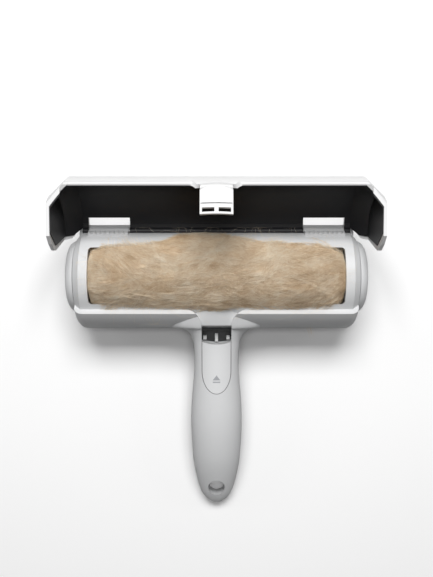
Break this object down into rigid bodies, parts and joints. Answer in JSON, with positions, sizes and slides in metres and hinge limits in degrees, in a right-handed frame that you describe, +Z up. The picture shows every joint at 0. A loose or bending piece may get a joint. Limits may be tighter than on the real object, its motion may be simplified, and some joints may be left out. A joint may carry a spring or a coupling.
{
  "type": "lint roller",
  "caption": "Reusable pet-hair lint roller: light grey body and handle, hinged lid standing open over a hair box full of blond fur, rocking lint drum below.",
  "frame": {"origin": "on the ground under the middle of the bounding box, with the lid open", "axes": "+Z up, +Y from the handle towards the head, +X along the drum"},
  "size_m": [0.192, 0.208, 0.1042],
  "materials": {
    "grey_housing": "fine matte, warm light grey",
    "lid_plastic": "fine matte, off-white grey",
    "dark_plastic": "satin charcoal",
    "button_plastic": "satin, light grey",
    "drum_plastic": "moulded grey",
    "lint_fabric": "short directional nap",
    "blade_rubber": "soft black",
    "pin_steel": "drawn",
    "bush_nylon": "natural nylon",
    "hair_fibre": "loose pet hair"
  },
  "bodies": {
    "housing": {"upper_housing": "grey_housing", "lower_housing": "grey_housing", "hinge_tab_left": "grey_housing", "hinge_tab_right": "grey_housing", "front_wiper_blade": "blade_rubber", "rear_wiper_blade": "blade_rubber", "front_fixed_strip": "lint_fabric", "rear_fixed_strip": "lint_fabric", "handle_screws": "pin_steel", "axle_bushes": "bush_nylon", "button_spring": "pin_steel", "collected_hair": "hair_fibre", "latch_guides": "grey_housing", "latch_lining": "dark_plastic"},
    "lid": {"lid_shell": "lid_plastic", "lid_liner": "dark_plastic", "lid_catch": "lid_plastic", "lid_ribs": "lid_plastic", "hinge_rod_left": "pin_steel", "hinge_rod_right": "pin_steel"},
    "drum": {"drum_core": "drum_plastic", "drum_deck": "drum_plastic", "front_lint_strip": "lint_fabric", "rear_lint_strip": "lint_fabric", "drum_centre_rib": "blade_rubber", "drum_axle_left": "pin_steel", "drum_axle_right": "pin_steel", "end_cap_left": "grey_housing", "end_cap_right": "grey_housing", "cap_screw_left": "pin_steel", "cap_screw_right": "pin_steel"},
    "button": {"release_button": "button_plastic", "button_hooks": "button_plastic"}
  },
  "joints": [
    {"name": "lid_hinge", "type": "hinge", "parent": "housing", "child": "lid", "pos_m": [0, 0.07498, 0.0337], "axis": [1, 0, 0], "range_deg": [0, 99.3]},
    {"name": "drum_rock", "type": "hinge", "parent": "housing", "child": "drum", "pos_m": [0, 0.04638, 0.025], "axis": [1, 0, 0], "range_deg": [-16, 16]},
    {"name": "button_press", "type": "slide", "parent": "housing", "child": "button", "axis": [0, 0, -1], "range_m": [0, 0.0024], "stiffness_N_per_m": 400, "springref_m": -0.002, "deforming": ["button_spring"]}
  ]
}
